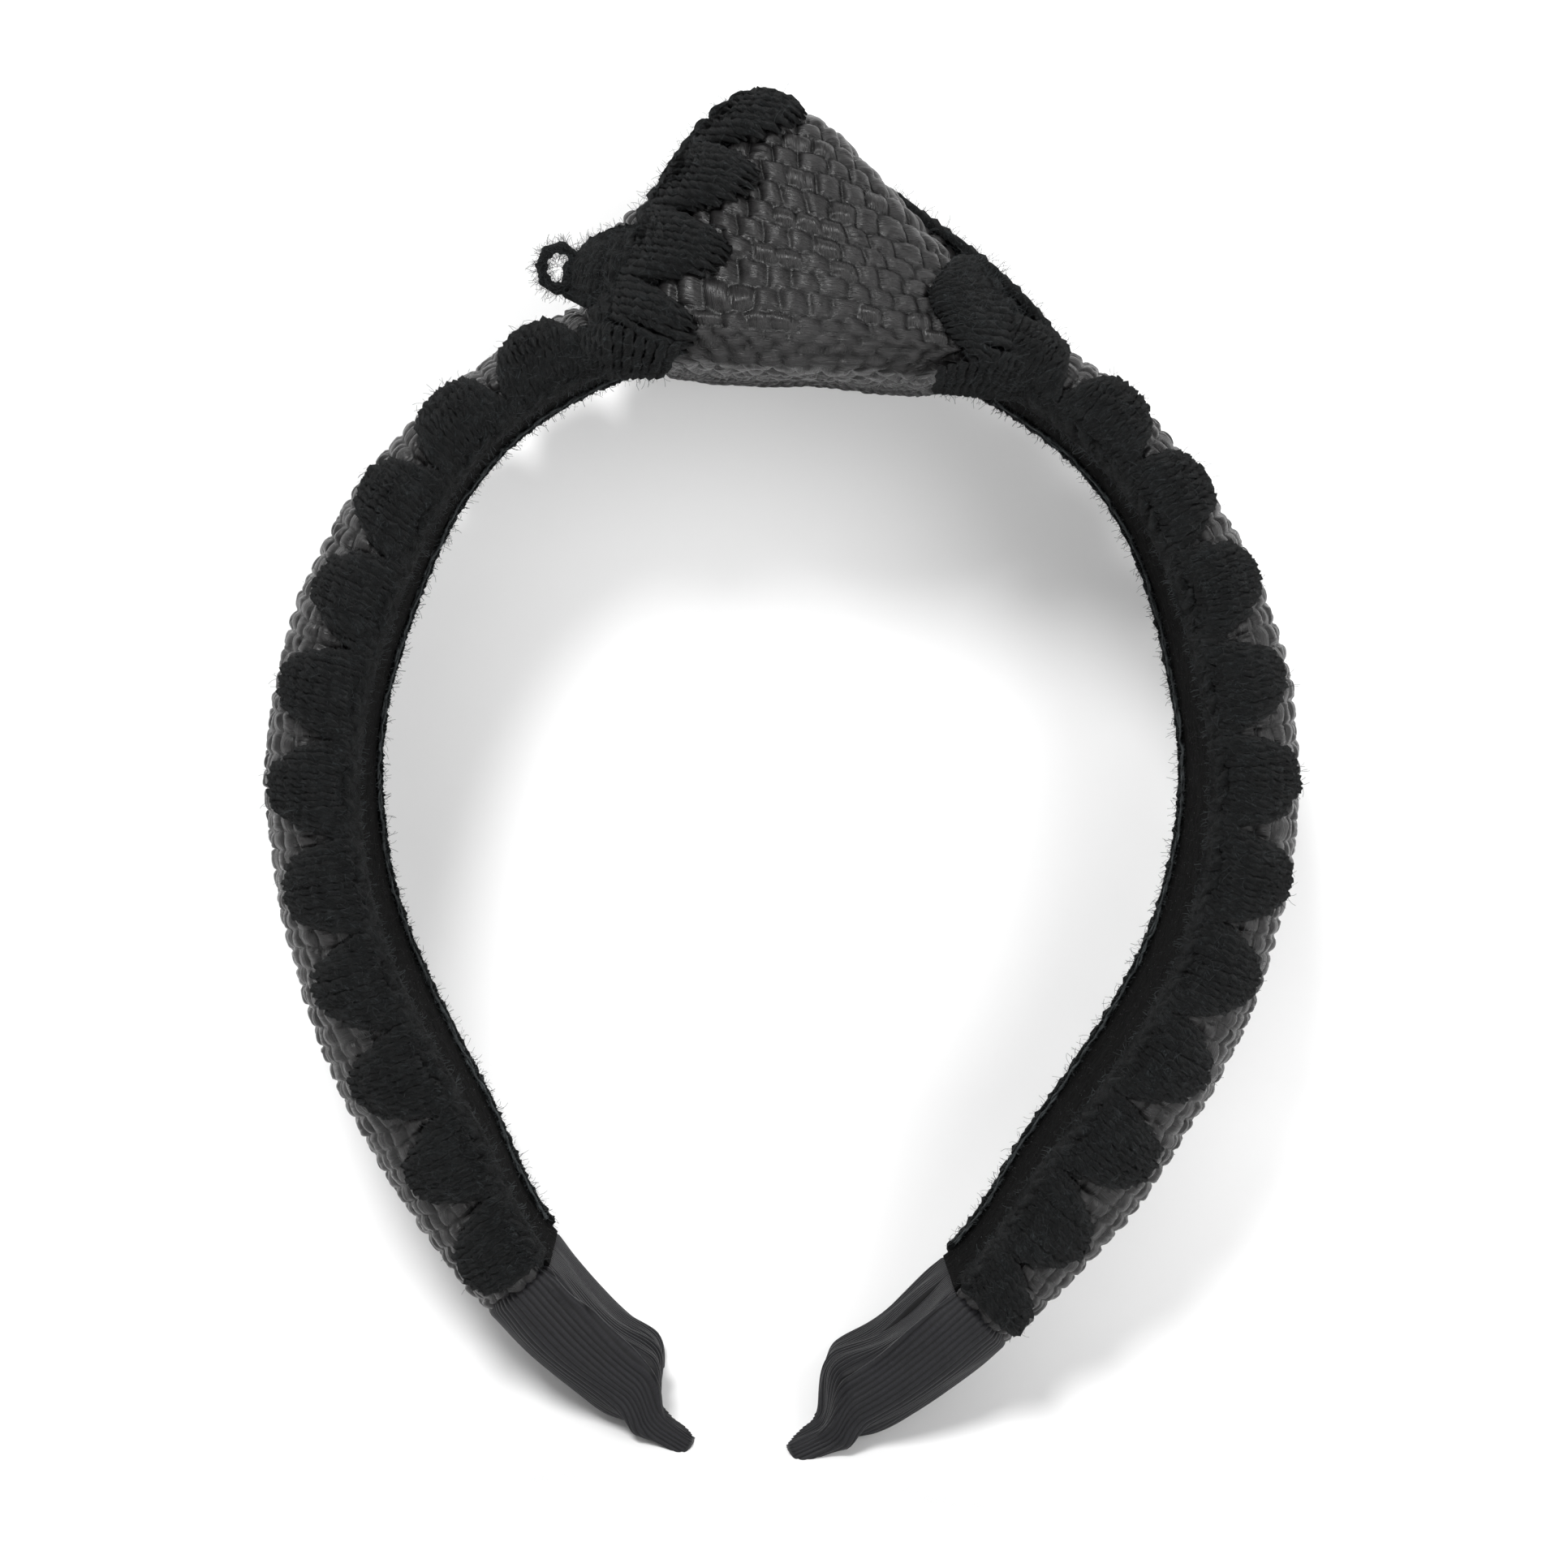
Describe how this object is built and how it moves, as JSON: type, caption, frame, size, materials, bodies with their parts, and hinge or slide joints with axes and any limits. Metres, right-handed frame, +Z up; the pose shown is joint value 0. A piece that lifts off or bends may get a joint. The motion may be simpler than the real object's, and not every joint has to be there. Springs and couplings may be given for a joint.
{
  "type": "knotted headband",
  "caption": "Padded alice headband covered in dark woven straw, with wool shell-stitch edging, a knot over the crown and ribbed ribbon sleeves on both ends.",
  "frame": {"origin": "the point under the knot, on the middle plane, where the crown rests on the top of the head", "axes": "+Z up as worn, X from ear to ear with +X to the right as seen from the front, and the front faces -Y"},
  "size_m": [0.1534, 0.0448, 0.2025],
  "materials": {
    "straw_weave": "plain-woven flat straw, dark grey with a soft gloss on each float",
    "wool_yarn": "fuzzy matt wool yarn, near black",
    "ribbon_grosgrain": "ribbed grosgrain ribbon with a slight sheen, charcoal",
    "lining_felt": "brushed felt, black",
    "sewing_thread": "frayed cotton thread, dark grey",
    "foam_padding": "soft open-cell foam, grey",
    "hoop_plastic": "moulded springy plastic, black"
  },
  "bodies": {
    "crown": {"hoop_crown": "hoop_plastic", "crown_pad": "foam_padding", "crown_cover": "straw_weave", "crown_lining": "lining_felt", "knot_stuffing": "foam_padding", "knot_wrap": "straw_weave", "knot_left_fold": "straw_weave", "knot_right_fold": "straw_weave", "knot_left_shells": "wool_yarn", "knot_right_shells": "wool_yarn", "knot_underside_shells": "wool_yarn", "knot_yarn_loop": "wool_yarn"},
    "left_arm": {"left_hoop": "hoop_plastic", "left_foam": "foam_padding", "left_cover": "straw_weave", "left_lining": "lining_felt", "left_front_edging": "wool_yarn", "left_back_edging": "wool_yarn", "left_front_shells": "wool_yarn", "left_back_shells": "wool_yarn", "left_front_thread": "sewing_thread", "left_back_thread": "sewing_thread", "left_ribbon_sleeve": "ribbon_grosgrain", "left_ribbon_seam": "ribbon_grosgrain"},
    "right_arm": {"right_hoop": "hoop_plastic", "right_foam": "foam_padding", "right_cover": "straw_weave", "right_lining": "lining_felt", "right_front_edging": "wool_yarn", "right_back_edging": "wool_yarn", "right_front_shells": "wool_yarn", "right_back_shells": "wool_yarn", "right_front_thread": "sewing_thread", "right_back_thread": "sewing_thread", "right_ribbon_sleeve": "ribbon_grosgrain", "right_ribbon_seam": "ribbon_grosgrain"}
  },
  "joints": [
    {"name": "left_arm_open", "type": "hinge", "parent": "crown", "child": "left_arm", "pos_m": [-0.03842, 0, -0.00354], "axis": [0, 1, 0], "range_deg": [-1.5, 16], "stiffness_Nm_per_rad": 0.6},
    {"name": "right_arm_open", "type": "hinge", "parent": "crown", "child": "right_arm", "pos_m": [0.03842, 0, -0.00354], "axis": [0, -1, 0], "range_deg": [-1.5, 16], "stiffness_Nm_per_rad": 0.6}
  ]
}
